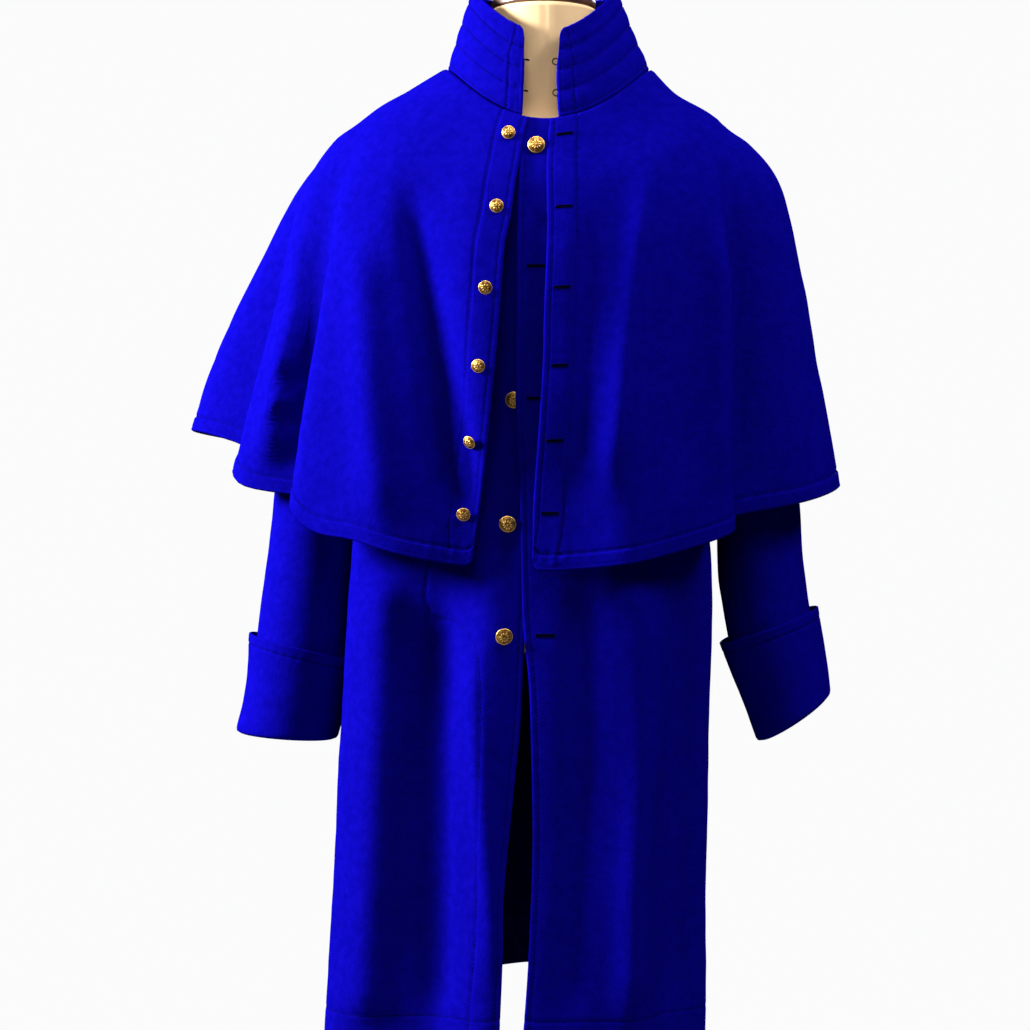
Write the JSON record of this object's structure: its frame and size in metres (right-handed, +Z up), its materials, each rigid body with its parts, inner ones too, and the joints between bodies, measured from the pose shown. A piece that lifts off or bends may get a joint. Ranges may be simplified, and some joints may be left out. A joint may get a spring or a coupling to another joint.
{
  "type": "caped military greatcoat on a limbless dress form with a stand",
  "caption": "Knee-length single-breasted wool greatcoat with an elbow cape, a tall stitched collar and deep cuffs, shown on a dress form with a stand.",
  "frame": {"origin": "on the floor under the dress form's axis, at the centre of the base's underside", "axes": "+Z up; the coat's front faces -Y; the wearer's left side is at +X"},
  "size_m": [0.7987, 0.426, 1.6603],
  "materials": {
    "wool": "heavy fulled wool, soft nap, matt",
    "brass": "stamped brass, worn bright on the high points",
    "wire": "blackened wire",
    "linen": "plain cream linen stretched over the form",
    "timber": "turned and varnished",
    "iron": "black paint, satin"
  },
  "bodies": {
    "root": {"coat_front_right": "wool", "coat_back_right": "wool", "coat_front_left": "wool", "coat_back_left": "wool", "sleeve_right_top": "wool", "sleeve_right_under": "wool", "cuff_right": "wool", "sleeve_left_top": "wool", "sleeve_left_under": "wool", "cuff_left": "wool", "cape_right": "wool", "cape_left": "wool", "collar": "wool", "coat_button_1": "brass", "coat_button_2": "brass", "coat_button_3": "brass", "coat_button_4": "brass", "coat_button_5": "brass", "cape_button_1": "brass", "cape_button_2": "brass", "cape_button_3": "brass", "cape_button_4": "brass", "cape_button_5": "brass", "cape_button_6": "brass", "collar_hook_1": "wire", "collar_eye_1": "wire", "collar_hook_2": "wire", "collar_eye_2": "wire", "form_torso": "linen", "form_neck_cap": "timber", "stand_pole": "iron", "stand_base": "iron"}
  },
  "joints": []
}
